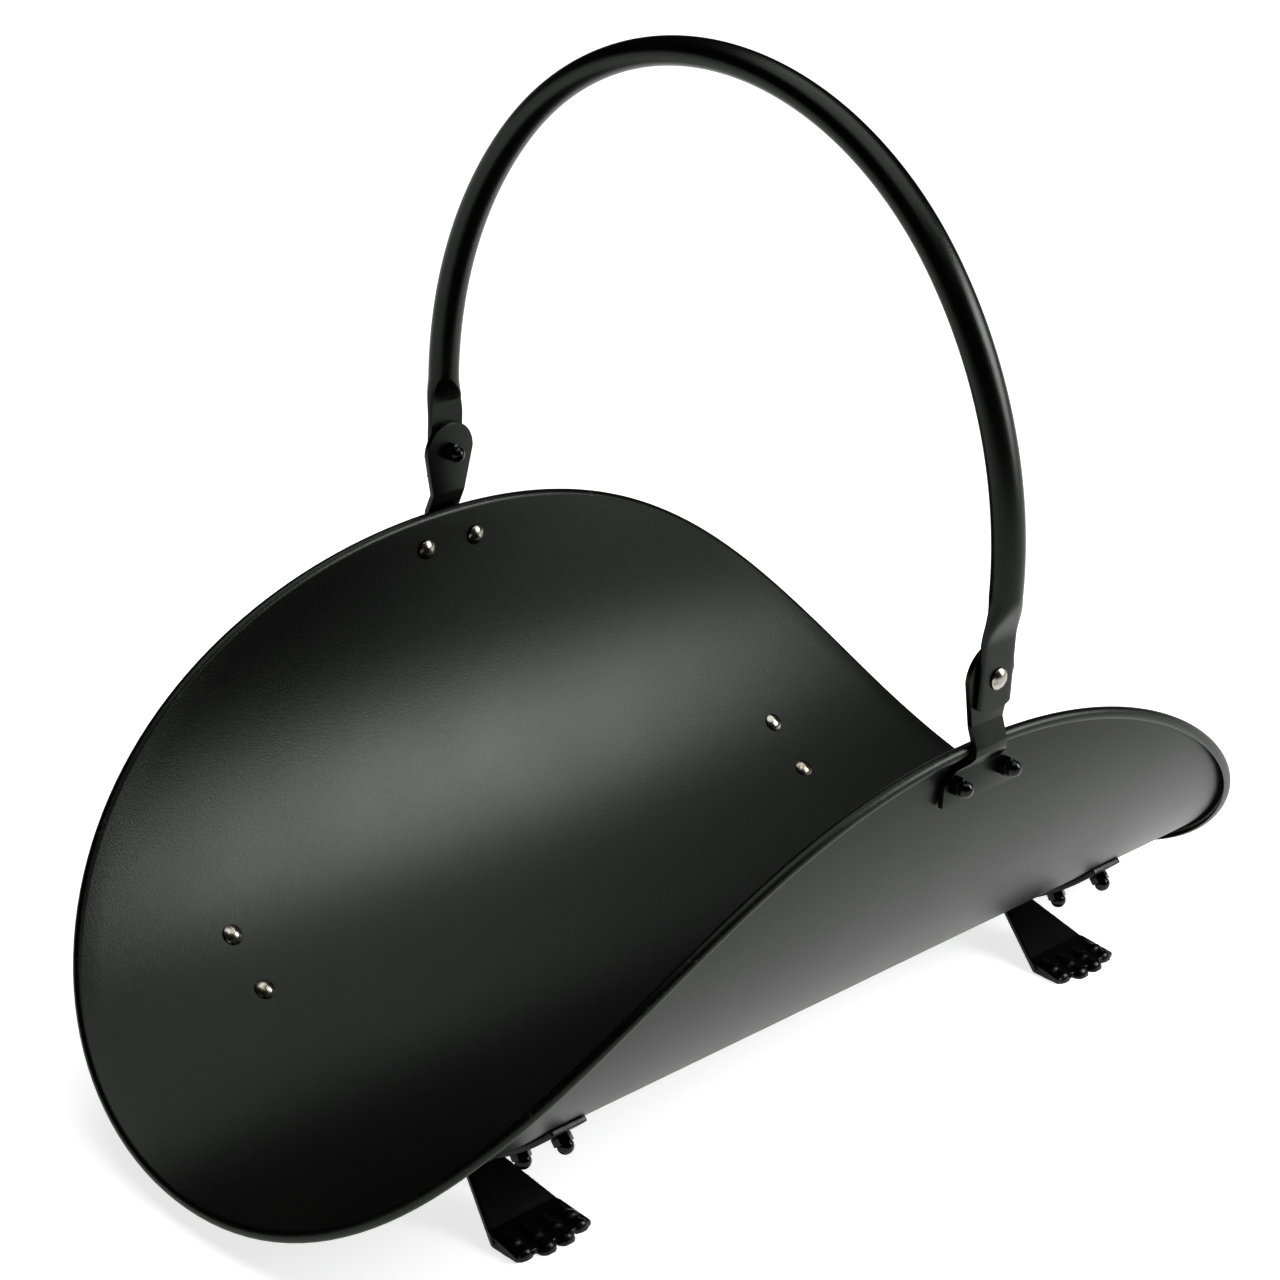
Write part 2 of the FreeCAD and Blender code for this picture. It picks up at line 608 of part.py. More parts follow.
# ---------------------------------------------------------------- assembly
def build():
    """Every piece of the rack, by node name."""
    parts = {"basket_sheet": make_sheet(), "carry_handle": make_handle()}
    right_bracket = make_right_bracket()
    right_foot = make_right_foot()
    pivot_bolt, pivot_nut = pivot_fasteners()
    for side_name, side in (("right", 1), ("left", -1)):
        def sided(shape):
            return shape.copy() if side > 0 else mirrored_x(shape)
        parts[side_name + "_handle_bracket"] = sided(right_bracket)
        parts[side_name + "_pivot_bolt"] = sided(pivot_bolt)
        parts[side_name + "_pivot_nut"] = sided(pivot_nut)
        for end_name, end in (("front", -1), ("rear", 1)):
            corner = end_name + "_" + side_name
            foot = sided(right_foot)
            foot.translate(Y_AXIS * end * foot_line)
            parts[corner + "_foot"] = foot
            for place, girth in zip(("inner", "outer"), foot_bolt_girths):
                bolt, nut = foot_fasteners(girth, end * foot_line)
                parts[corner + "_foot_bolt_" + place] = sided(bolt)
                parts[corner + "_foot_nut_" + place] = sided(nut)
            bolt, nut = bracket_fasteners(end * bracket_bolt_spacing / 2)
            parts[corner + "_bracket_bolt"] = sided(bolt)
            parts[corner + "_bracket_nut"] = sided(nut)
    return parts


os.makedirs("parts", exist_ok=True)
for name, shape in build().items():
    shape.exportStep("parts/" + name + ".step")
    print(name, len(shape.Solids), shape.isValid(), round(shape.Volume, 1))
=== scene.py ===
"""Looks of a firewood log rack: a rolled steel trough on four paw feet, under a swinging hoop handle.

Lengths are metres, in the part's own frame: +Z is up, X runs across the trough, Y runs along it,
right is +X and front is -Y.
"""

import logging
import math
from collections.abc import Callable, Iterator, Sequence
from contextlib import contextmanager
from dataclasses import dataclass, field
from enum import Enum

import bmesh
import bpy
from mathutils import Matrix, Vector

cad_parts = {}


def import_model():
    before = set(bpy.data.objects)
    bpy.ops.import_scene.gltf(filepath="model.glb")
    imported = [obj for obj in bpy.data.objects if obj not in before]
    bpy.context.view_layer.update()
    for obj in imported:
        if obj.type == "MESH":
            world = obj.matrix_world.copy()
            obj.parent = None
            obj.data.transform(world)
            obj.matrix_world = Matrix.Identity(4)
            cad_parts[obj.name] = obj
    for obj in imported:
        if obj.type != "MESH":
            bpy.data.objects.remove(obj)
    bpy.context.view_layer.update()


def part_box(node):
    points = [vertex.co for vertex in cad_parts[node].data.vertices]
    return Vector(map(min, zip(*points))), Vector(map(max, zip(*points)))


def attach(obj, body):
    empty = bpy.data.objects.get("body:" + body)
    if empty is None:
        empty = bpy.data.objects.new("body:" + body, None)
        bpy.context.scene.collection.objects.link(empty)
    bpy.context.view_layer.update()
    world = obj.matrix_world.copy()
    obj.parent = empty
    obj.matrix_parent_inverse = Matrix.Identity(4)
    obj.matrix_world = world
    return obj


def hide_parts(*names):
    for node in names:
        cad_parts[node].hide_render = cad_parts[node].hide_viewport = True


SIDE_GAP = 0.0003  # between the handle's tab and the ear, and between the tab and the bolt's head
Colour = tuple[float, float, float, float]
log = logging.getLogger("log_rack")


class Side(Enum):
    """The two long sides of the rack, with the sign of X there."""

    RIGHT = 1
    LEFT = -1


class End(Enum):
    """The two ends of the rack, with the sign of Y there."""

    FRONT = -1
    REAR = 1


# ------------------------------------------------------------------------------------- the bench
def started(name: str, add: Callable[..., set[str]], **size: object) -> bpy.types.Object:
    """Add a primitive at the origin with nothing else selected.

    Args:
        name: The piece's name.
        add: The operator that adds the primitive.
        **size: The operator's own sizes.

    Returns:
        The new object.
    """
    bpy.ops.object.select_all(action="DESELECT")
    add(location=(0.0, 0.0, 0.0), **size)
    piece = bpy.context.active_object
    piece.name = piece.data.name = name
    return piece


@contextmanager
def shaping(piece: bpy.types.Object) -> Iterator[None]:
    """Keep a piece in edit mode while the block runs.

    Args:
        piece: The mesh object to work on.

    Yields:
        Nothing.
    """
    bpy.ops.object.select_all(action="DESELECT")
    bpy.context.view_layer.objects.active = piece
    piece.select_set(True)
    bpy.ops.object.mode_set(mode="EDIT")
    bpy.ops.mesh.select_mode(type="VERT")
    try:
        yield
    finally:
        bpy.ops.object.mode_set(mode="OBJECT")


def pick(piece: bpy.types.Object, wanted: Callable[[Vector], bool]) -> None:
    """Select the vertices whose place passes a test, and the edges and faces between them.

    Args:
        piece: The mesh object, in edit mode.
        wanted: Says whether a vertex at this place is wanted.
    """
    bpy.ops.mesh.select_all(action="DESELECT")
    blank = bmesh.from_edit_mesh(piece.data)
    for vert in blank.verts:
        if wanted(vert.co):
            vert.select_set(True)
    blank.select_flush(True)
    bmesh.update_edit_mesh(piece.data)


def pull(step: Sequence[float], stretch: Sequence[float] = (1, 1, 1),
         about: Sequence[float] = (0, 0, 0)) -> None:
    """Extrude what is selected, then stretch the new end.

    Args:
        step: How far the new end is moved.
        stretch: Its stretch along X, Y and Z.
        about: The point that the stretch leaves where it is.
    """
    bpy.ops.mesh.extrude_region_move(TRANSFORM_OT_translate={"value": tuple(step)})
    if tuple(stretch) != (1, 1, 1):
        bpy.ops.transform.resize(value=tuple(stretch), center_override=tuple(about))


def cleaned(piece: bpy.types.Object, gap: float = 1e-6) -> bpy.types.Object:
    """Merge the piece's doubles and point its faces outwards.

    Args:
        piece: The mesh object.
        gap: Vertices nearer than this become one.

    Returns:
        The same object.
    """
    with shaping(piece):
        bpy.ops.mesh.select_all(action="SELECT")
        bpy.ops.mesh.remove_doubles(threshold=gap)
        bpy.ops.mesh.normals_make_consistent(inside=False)
    return piece


def worked(piece: bpy.types.Object, kind: str, **settings: object) -> bpy.types.Object:
    """Add a modifier and apply it.

    Args:
        piece: The mesh object.
        kind: The modifier's type.
        **settings: The modifier's own settings.

    Returns:
        The same object.
    """
    modifier = piece.modifiers.new(kind.title(), kind)
    for name, value in settings.items():
        setattr(modifier, name, value)
    bpy.ops.object.select_all(action="DESELECT")
    bpy.context.view_layer.objects.active = piece
    piece.select_set(True)
    bpy.ops.object.modifier_apply(modifier=modifier.name)
    return piece


def joined(pieces: Sequence[bpy.types.Object]) -> bpy.types.Object:
    """Put several meshes in the first one's object."""
    bpy.ops.object.select_all(action="DESELECT")
    for piece in pieces:
        piece.select_set(True)
    bpy.context.view_layer.objects.active = pieces[0]
    bpy.ops.object.join()
    return pieces[0]


def combined(piece: bpy.types.Object, other: bpy.types.Object, operation: str) -> bpy.types.Object:
    """Combine a piece with another body, which is used up.

    Args:
        piece: The mesh object that stays.
        other: The mesh object that is added, cut away or kept in common.
        operation: UNION, DIFFERENCE or INTERSECT.

    Returns:
        The piece.
    """
    worked(piece, "BOOLEAN", operation=operation, object=other, solver="EXACT")
    bpy.data.objects.remove(other)
    return piece


def smoothed(piece: bpy.types.Object, angle: float = 35.0) -> bpy.types.Object:
    """Shade a piece smooth, except over edges sharper than an angle in degrees."""
    bpy.ops.object.select_all(action="DESELECT")
    bpy.context.view_layer.objects.active = piece
    piece.select_set(True)
    bpy.ops.object.shade_smooth_by_angle(angle=math.radians(angle))
    return piece


def copied(piece: bpy.types.Object, name: str, move: Matrix) -> bpy.types.Object:
    """A copy of a piece with its own mesh, moved or mirrored there.

    Args:
        piece: The piece that is copied.
        name: The copy's name.
        move: Where the copy goes. A mirror image keeps its faces outwards.

    Returns:
        The new object, at the origin.
    """
    mesh = piece.data.copy()
    mesh.transform(move)
    if move.determinant() < 0:
        mesh.flip_normals()
    mesh.name = name
    copy = bpy.data.objects.new(name, mesh)
    bpy.context.scene.collection.objects.link(copy)
    return copy


def turned(name: str, outline: Sequence[tuple[float, float]], steps: int) -> bpy.types.Object:
    """Turn a body about Z, ring by ring.

    Args:
        name: The piece's name.
        outline: (radius, height) of each ring. It starts and ends on the axis, with radius 0.
        steps: Vertices in a ring.

    Returns:
        The new object.
    """
    (_, pole), (radius, height) = outline[:2]
    piece = started(name, bpy.ops.mesh.primitive_circle_add, vertices=steps, radius=radius,
                    fill_type="TRIFAN")
    with shaping(piece):
        bpy.ops.mesh.select_all(action="SELECT")
        bpy.ops.transform.translate(value=(0, 0, height))
        pick(piece, lambda place: place.xy.length < radius / 2)
        bpy.ops.transform.translate(value=(0, 0, pole - height))
        pick(piece, lambda place: place.xy.length > radius / 2)
        for next_radius, next_height in outline[2:-1]:
            ratio = next_radius / radius
            pull((0, 0, next_height - height), (ratio, ratio, 1))
            radius, height = next_radius, next_height
        pull((0, 0, outline[-1][1] - height))
        bpy.ops.mesh.merge(type="CENTER")
    return cleaned(piece)


def pulled_strip(name: str, stations: Sequence[tuple[float, float, float]]) -> bpy.types.Object:
    """Pull a strip of changing width along a path in the XZ plane, as a sheet with no thickness.

    Args:
        name: The piece's name.
        stations: (x, z, width along Y) of each fold line. A last width of 0 ends it in a point.

    Returns:
        The new object.
    """
    (x, z, width), (next_x, next_z, next_width) = stations[:2]
    piece = started(name, bpy.ops.mesh.primitive_plane_add, size=1.0)
    with shaping(piece):
        pick(piece, lambda place: place.x > 0)
        bpy.ops.mesh.delete(type="VERT")
        bpy.ops.mesh.select_all(action="SELECT")
        bpy.ops.transform.translate(value=(0.5 + x, 0, z))
        bpy.ops.transform.resize(value=(1, width, 1), center_override=(x, 0, z))
        for next_x, next_z, next_width in stations[1:]:
            if next_width == 0:
                pull((next_x - x, 0, next_z - z))
                bpy.ops.mesh.merge(type="CENTER")
                break
            pull((next_x - x, 0, next_z - z), (1, next_width / width, 1), (next_x, 0, next_z))
            x, z, width = next_x, next_z, next_width
    return piece


def arc_points(centre: Vector, radius: float, first: float, last: float, count: int) -> list[Vector]:
    """Points of an arc in the XZ plane.

    Args:
        centre: The arc's centre.
        radius: Its radius.
        first: Its first direction in degrees, from +X towards +Z.
        last: Its last direction.
        count: How many points, the two ends included.

    Returns:
        The points in order.
    """
    angles = [math.radians(first + (last - first) * i / (count - 1)) for i in range(count)]
    return [centre + Vector((math.cos(a), 0, math.sin(a))) * radius for a in angles]


# ------------------------------------------------------------------------------------- finishes
class Amount:
    """A shader value on which Python's operators add Math nodes."""

    def __init__(self, paint: "Paint", socket: bpy.types.NodeSocket) -> None:
        """Wrap a socket of a paint's nodes."""
        self.paint = paint
        self.socket = socket

    def _math(self, operation: str, first: object, second: object) -> "Amount":
        """Add one Math node."""
        return self.paint.add("ShaderNodeMath", {"operation": operation}, {0: first, 1: second})

    def __add__(self, other: object) -> "Amount":
        """This plus another."""
        return self._math("ADD", self, other)

    __radd__ = __add__

    def __mul__(self, other: object) -> "Amount":
        """This times another."""
        return self._math("MULTIPLY", self, other)

    __rmul__ = __mul__

    def __sub__(self, other: object) -> "Amount":
        """This less another."""
        return self._math("SUBTRACT", self, other)

    def __rsub__(self, other: object) -> "Amount":
        """Another less this."""
        return self._math("SUBTRACT", other, self)

    def between(self, low: float, high: float) -> "Amount":
        """Ease from 0 at the low value to 1 at the high one."""
        return self.paint.add("ShaderNodeMapRange", {"interpolation_type": "SMOOTHSTEP"},
                              {"Value": self, "From Min": low, "From Max": high})


class Paint:
    """A material while it is mixed: one Principled surface and the nodes that feed it."""

    def __init__(self, name: str, constants: dict[str, object]) -> None:
        """Start a material.

        Args:
            name: Its name.
            constants: What is the same all over, by the surface's socket names.
        """
        self.material = bpy.data.materials.new(name)
        self.material.use_nodes = True
        self.surface = self.material.node_tree.nodes["Principled BSDF"]
        for socket, value in constants.items():
            self.feed(self.surface.inputs[socket], value)

    def feed(self, socket: bpy.types.NodeSocket, value: object) -> None:
        """Link or set a socket."""
        if isinstance(value, Amount):
            self.material.node_tree.links.new(value.socket, socket)
        else:
            socket.default_value = value

    def add(self, kind: str, settings: dict[str, object] | None = None,
            inputs: dict[str | int, object] | None = None, output: str | int = 0) -> Amount:
        """Add a node.

        Args:
            kind: The node's type.
            settings: Its own settings, which are set first.
            inputs: Values or links of its sockets.
            output: The socket that is read.

        Returns:
            The node's output.
        """
        node = self.material.node_tree.nodes.new(kind)
        for name, value in (settings or {}).items():
            setattr(node, name, value)
        for name, value in (inputs or {}).items():
            self.feed(node.inputs[name], value)
        return Amount(self, node.outputs[output])

    def place(self) -> Amount:
        """The place on the object."""
        return self.add("ShaderNodeTexCoord", output="Object")

    def noise(self, size: float, detail: float = 2.0, roughness: float = 0.5) -> Amount:
        """Cloudy noise from 0 to 1.

        Args:
            size: How wide its patches are, in metres.
            detail: How many finer layers it has.
            roughness: How strong those are.

        Returns:
            The noise.
        """
        return self.add("ShaderNodeTexNoise", {}, {"Vector": self.place(), "Scale": 1 / size,
                                                   "Detail": detail, "Roughness": roughness})

    def grains(self, size: float) -> Amount:
        """Distance to the nearest grain, 0 at its middle, for grains of a size in metres."""
        return self.add("ShaderNodeTexVoronoi", {}, {"Vector": self.place(), "Scale": 1 / size})

    def mixed(self, share: Amount, first: Colour | Amount, second: Colour | Amount) -> Amount:
        """Mix two colours by a share of the second."""
        return self.add("ShaderNodeMix", {"data_type": "RGBA"}, {0: share, 6: first, 7: second}, 2)

    def relief(self, height: Amount, depth: float) -> Amount:
        """The normal of a fine relief, whose depth is in metres."""
        return self.add("ShaderNodeBump", {}, {"Height": height, "Distance": depth, "Strength": 1.0})

    def finished(self, **varying: Amount) -> bpy.types.Material:
        """Feed what changes over the surface, by socket names with underscores, and return the material."""
        for name, value in varying.items():
            self.feed(self.surface.inputs[name.replace("_", " ").title()], value)
        return self.material


@dataclass(frozen=True)
class SatinPowderCoat:
    """Satin black powder coat: a fine pebbled skin, with pale rub marks where it is handled."""

    name: str
    colour: Colour = (0.0010, 0.0011, 0.0010, 1)
    fleck: Colour = (0.0050, 0.0054, 0.0047, 1)
    rub: Colour = (0.16, 0.165, 0.155, 1)
    sheen: Colour = (0.94, 1.0, 0.93, 1)
    roughness: float = 0.37
    pebble: float = 0.0011
    depth: float = 0.00007
    rubbed_edges: bool = False

    def material(self) -> bpy.types.Material:
        """Mix the finish."""
        paint = Paint(self.name, {"IOR": 1.5, "Specular IOR Level": 0.55, "Specular Tint": self.sheen})
        skin = paint.noise(self.pebble, 3.0, 0.62)
        dust = paint.noise(self.pebble * 0.45, 1.0)
        cloud = paint.noise(0.06, 3.0)
        flecks = dust.between(0.56, 0.74)
        colour = paint.mixed(flecks * 0.8, self.colour, self.fleck)
        roughness = self.roughness + (cloud - 0.5) * 0.06 + (dust - 0.5) * 0.10
        if self.rubbed_edges:
            edge = paint.add("ShaderNodeAttribute", {"attribute_name": "edge"}, output="Fac")
            marks = paint.noise(0.0022, 4.0, 0.7).between(0.58, 0.70)
            patches = paint.noise(0.035, 2.0).between(0.42, 0.62)
            rubs = edge * marks * patches * 0.45
            colour = paint.mixed(rubs, colour, self.rub)
            roughness = roughness + rubs * 0.25
        height = skin + dust * 0.6
        return paint.finished(base_color=colour, roughness=roughness, normal=paint.relief(height, self.depth))


@dataclass(frozen=True)
class BlackedCasting:
    """Cast iron under thin black paint: soft pits and a low sheen that is brighter on the crowns."""

    name: str
    colour: Colour = (0.0025, 0.0025, 0.0025, 1)
    crown: Colour = (0.006, 0.0062, 0.006, 1)
    roughness: float = 0.31
    depth: float = 0.00003

    def material(self) -> bpy.types.Material:
        """Mix the finish."""
        paint = Paint(self.name, {"IOR": 1.5, "Specular IOR Level": 0.6})
        pits = paint.grains(0.0016)
        skin = paint.noise(0.0012, 4.0, 0.6)
        cloud = paint.noise(0.012, 2.0)
        colour = paint.mixed(cloud.between(0.4, 0.75), self.colour, self.crown)
        roughness = self.roughness + (skin - 0.5) * 0.22 + (cloud - 0.5) * 0.08
        height = skin + pits * 0.35
        return paint.finished(base_color=colour, roughness=roughness, normal=paint.relief(height, self.depth))


@dataclass(frozen=True)
class DullPlate:
    """Plated steel gone dull: a grey shine with warm brown tarnish and fine handling marks."""

    name: str
    metal: Colour = (0.46, 0.45, 0.41, 1)
    tarnish: Colour = (0.17, 0.13, 0.085, 1)
    roughness: float = 0.25
    depth: float = 0.00003

    def material(self) -> bpy.types.Material:
        """Mix the finish."""
        paint = Paint(self.name, {"Metallic": 1.0})
        stain = paint.noise(0.0028, 4.0, 0.65)
        fine = paint.noise(0.0005, 2.0)
        colour = paint.mixed(stain.between(0.45, 0.68), self.metal, self.tarnish)
        roughness = self.roughness + (stain - 0.5) * 0.30 + (fine - 0.5) * 0.12
        relief = paint.relief(stain + fine, self.depth)
        return paint.finished(base_color=colour, roughness=roughness, normal=relief)


@dataclass(frozen=True)
class GlossyBlack:
    """Glossy black plating on the cap nuts, a little uneven."""

    name: str
    colour: Colour = (0.003, 0.0035, 0.004, 1)
    grime: Colour = (0.009, 0.009, 0.008, 1)
    roughness: float = 0.17
    depth: float = 0.000025

    def material(self) -> bpy.types.Material:
        """Mix the finish."""
        paint = Paint(self.name, {"IOR": 1.5, "Specular IOR Level": 0.42, "Coat Weight": 0.15,
                                  "Coat Roughness": 0.05})
        cloud = paint.noise(0.002, 3.0)
        fine = paint.noise(0.0006, 2.0)
        colour = paint.mixed(cloud.between(0.45, 0.7), self.colour, self.grime)
        roughness = self.roughness + (cloud - 0.5) * 0.16
        relief = paint.relief(cloud + fine, self.depth)
        return paint.finished(base_color=colour, roughness=roughness, normal=relief)


@dataclass
class Finishes:
    """Every finish of the rack, mixed once."""

    sheet: bpy.types.Material = field(default_factory=lambda: SatinPowderCoat(
        "sheet_satin_black", rubbed_edges=True).material())
    handle: bpy.types.Material = field(default_factory=lambda: SatinPowderCoat(
        "handle_satin_black", roughness=0.30, pebble=0.0009, depth=0.00005).material())
    bracket: bpy.types.Material = field(default_factory=lambda: SatinPowderCoat(
        "bracket_satin_black", roughness=0.32, pebble=0.0009, depth=0.00005).material())
    foot: bpy.types.Material = field(default_factory=lambda: BlackedCasting("foot_blacked_iron").material())
    bolt: bpy.types.Material = field(default_factory=lambda: DullPlate("bolt_dull_plate").material())
    nut: bpy.types.Material = field(default_factory=lambda: GlossyBlack("nut_glossy_black").material())


def fitted(piece: bpy.types.Object, body: str, node: str,
           finish: bpy.types.Material) -> bpy.types.Object:
    """Dress a piece, let it stand for its CAD node and tie it to its body.

    Args:
        piece: The finished mesh object.
        body: The CAD body it rides on.
        node: The CAD node it stands for.
        finish: Its material.

    Returns:
        The same object.
    """
    piece.data.materials.clear()
    piece.data.materials.append(finish)
    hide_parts(node)
    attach(piece, body)
    log.info("%s: %d faces, for %s on %s", piece.name, len(piece.data.polygons), node, body)
    return piece


# ------------------------------------------------------------------------------------- sheet
@dataclass
class RolledSheet:
    """The steel disc with a rolled rim, bent into a trough."""

    half_girth: float = 0.280
    half_length: float = 0.2895
    thickness: float = 0.0012
    squareness: float = 2.1
    bottom_radius: float = 0.155
    bottom_half_angle: float = 48.0
    side_radius: float = 0.195
    floor_gap: float = 0.0133
    curl_radius: float = 0.0028
    curl_turn: float = 225.0
    rings: int = 30
    steps: int = 240
    curl_steps: int = 18

    def frame_at(self, girth: float, offset: float) -> tuple[Vector, Vector]:
        """Find a place on the trough.

        Args:
            girth: Distance along the sheet from the bottom line, positive to the right.
            offset: Distance outwards from the outer face.

        Returns:
            The point and the outward normal there, at y = 0.
        """
        side = -1.0 if girth < 0 else 1.0
        turn = math.radians(self.bottom_half_angle)
        start = self.bottom_radius * turn
        if abs(girth) <= start:
            angle, radius = abs(girth) / self.bottom_radius, self.bottom_radius
            centre = Vector((0, 0, self.bottom_radius))
        else:
            angle, radius = turn + (abs(girth) - start) / self.side_radius, self.side_radius
            shift = self.bottom_radius - self.side_radius
            centre = Vector((shift * math.sin(turn), 0, self.bottom_radius - shift * math.cos(turn)))
        outwards = Vector((math.sin(angle), 0, -math.cos(angle)))
        point = centre + outwards * (radius + offset) + Vector((0, 0, self.floor_gap))
        return Vector((side * point.x, 0, point.z)), Vector((side * outwards.x, 0, outwards.z))

    def flat_outline(self) -> list[tuple[float, float]]:
        """Ring radii and heights of the flat disc: inner face, rolled rim, outer face."""
        roll = self.half_girth - self.curl_radius
        flats = [roll * (i / self.rings) for i in range(1, self.rings + 1)]
        outline = [(0.0, self.thickness)] + [(r, self.thickness) for r in flats]
        centre_height = self.thickness - self.curl_radius
        for radius, order in ((self.curl_radius, 1), (self.curl_radius - self.thickness, -1)):
            turns = [90 - self.curl_turn * i / self.curl_steps for i in range(self.curl_steps + 1)]
            for turn in turns[1:] if order > 0 else turns[::-1][:-1]:
                angle = math.radians(turn)
                outline.append((roll + radius * math.cos(angle), centre_height + radius * math.sin(angle)))
        return outline + [(r, 0.0) for r in reversed(flats)] + [(0.0, 0.0)]

    def bend(self, sheet: bpy.types.Object) -> None:
        """Square the flat disc's shoulders and lay it round the trough's two radii.

        The bend operator needs a window and has one radius, so each vertex is laid on the trough here.

        Args:
            sheet: The flat disc.
        """
        roll = self.half_girth - self.curl_radius
        edge = sheet.data.attributes.new("edge", "FLOAT", "POINT")
        stretch = self.half_length / self.half_girth
        for vert, mark in zip(sheet.data.vertices, edge.data):
            x, y, height = vert.co
            reach = math.hypot(x, y)
            mark.value = min(1.0, max(0.0, (reach - roll + 0.001) / 0.002))
            if reach > 0:
                power = self.squareness
                swell = (abs(x / reach) ** power + abs(y / reach) ** power) ** (-1 / power)
                x, y = x * swell, y * swell * stretch
            point, _ = self.frame_at(x, -height)
            vert.co = point + Vector((0, y, 0))

    def build(self, finish: bpy.types.Material) -> None:
        """Model the sheet and fit it."""
        sheet = turned("rolled_sheet", self.flat_outline(), self.steps)
        self.bend(sheet)
        fitted(smoothed(sheet), "basket", "basket_sheet", finish)


# ------------------------------------------------------------------------------------- handle
@dataclass
class HoopHandle:
    """The oval tube hoop, pressed flat at its two ends."""

    pivot_height: float
    half_span: float = 0.172
    height: float = 0.2255
    side_bend: float = 0.202
    lean: float = 0.8
    depth: float = 0.0128
    width: float = 0.0161
    tab_width: float = 0.0205
    tab_thickness: float = 0.003
    tab_above: float = 0.0245
    tab_below: float = 0.0147
    flattening: float = 0.0130
    outer_press: float = 0.0215
    press_slew: float = 28.0
    joggle: float = 0.0015
    tab_corner: float = 0.0025
    hole_radius: float = 0.0026
    steps: int = 64
    press_steps: int = 44

    def arch(self, base: float) -> None:
        """Spin the selected oval round the side bend and the top bend, up to the middle.

        Args:
            base: The height of its bend's start.
        """
        rise = self.pivot_height + self.height - base
        overhang = self.side_bend - self.half_span
        top_bend = (self.half_span ** 2 + rise ** 2 - 2 * self.half_span * self.side_bend) / (
            2 * (rise - self.side_bend))
        shoulder = math.atan2(rise - top_bend, overhang)
        bpy.ops.mesh.spin(steps=44, angle=shoulder, center=(-overhang, 0, base), axis=(0, 1, 0))
        bpy.ops.mesh.spin(steps=44, angle=math.pi / 2 - shoulder, center=(0, 0, base + rise - top_bend),
                          axis=(0, 1, 0))

    def pressed(self, across: float, along: float, height: float) -> tuple[float, float]:
        """Press a point of the oval.

        The outer wall is drawn in softly. The inner wall is pressed to a facet that starts in a point towards
        the front and widens to the tab.

        Args:
            across: The point's place across the oval, from -1 on the inner wall to 1 on the outer one.
            along: Its place along the trough, from -1 to 1.
            height: Its height above the pivot.

        Returns:
            Its x and y.
        """
        top = self.tab_above + self.flattening
        soft = min(1.0, (top - height) / self.outer_press)
        eased = soft * soft * (3 - 2 * soft)
        half, deep = self.tab_thickness / 2, self.depth / 2
        middle = self.half_span - self.joggle * eased
        wide = (self.width + (self.tab_width - self.width) * eased) / 2
        if across >= 0:
            power = 2 / (2 + 4 * eased)
            reach = deep + (half - deep) * eased
            return middle + reach * across ** power, math.copysign(wide * abs(along) ** power, along)
        down = min(1.0, (top - height) / self.flattening)
        slew = math.radians(self.press_slew) * (1 - down)
        reach = math.hypot(deep * math.cos(slew), self.width / 2 * math.sin(slew)) * (1 - down) + half * down
        wall = max((reach + math.sin(slew) * wide * along) / math.cos(slew), half)
        return middle + max(across * deep, -wall), wide * along

    def press(self, hoop: bpy.types.Object, base: float) -> None:
        """Press the tube's end flat and round the tab's lower end.

        Each vertex below the arch is laid in its pressed place here, since no operator presses a tube.

        Args:
            hoop: The hoop with straight oval ends.
            base: The height of its bend's start.
        """
        low = self.pivot_height - self.tab_below
        for vert in hoop.data.vertices:
            if vert.co.x > 0 and vert.co.z < base - 1e-6:
                across = (vert.co.x - self.half_span) / (self.depth / 2)
                along = vert.co.y / (self.width / 2)
                vert.co.x, vert.co.y = self.pressed(across, along, vert.co.z - self.pivot_height)
                if vert.co.z < low + 1e-6:
                    vert.co.z = low + self.tab_corner * (vert.co.y / (self.tab_width / 2)) ** 2

    def build(self, finish: bpy.types.Material) -> None:
        """Model the hoop and fit it."""
        base = self.pivot_height + self.tab_above + self.flattening
        hoop = started("hoop_handle", bpy.ops.mesh.primitive_circle_add, vertices=self.steps, radius=1.0)
        with shaping(hoop):
            bpy.ops.mesh.select_all(action="SELECT")
            bpy.ops.transform.resize(value=(self.depth / 2, self.width / 2, 1), center_override=(0, 0, 0))
            bpy.ops.transform.translate(value=(self.half_span, 0, base))
            self.arch(base)
            pick(hoop, lambda place: place.x > 0 and place.z < base + 1e-6)
            for _ in range(self.press_steps):
                pull((0, 0, -self.outer_press / self.press_steps))
            rest = self.tab_above + self.flattening - self.outer_press + self.tab_below
            for _ in range(8):
                pull((0, 0, -rest / 8))
            bpy.ops.mesh.edge_face_add()
        self.press(hoop, base)
        worked(hoop, "MIRROR", merge_threshold=1e-5)
        cleaned(hoop)
        hole = started("pivot_drill", bpy.ops.mesh.primitive_cylinder_add, vertices=32,
                       radius=self.hole_radius, depth=3 * self.half_span)
        hole.data.transform(Matrix.Rotation(math.pi / 2, 4, "Y"))
        hole.data.transform(Matrix.Translation((0, 0, self.pivot_height)))
        combined(hoop, hole, "DIFFERENCE")
        pivot = Matrix.Translation((0, 0, self.pivot_height))
        hoop.data.transform(pivot @ Matrix.Rotation(math.radians(self.lean), 4, "X") @ pivot.inverted())
        fitted(smoothed(hoop, 40), "handle", "carry_handle", finish)


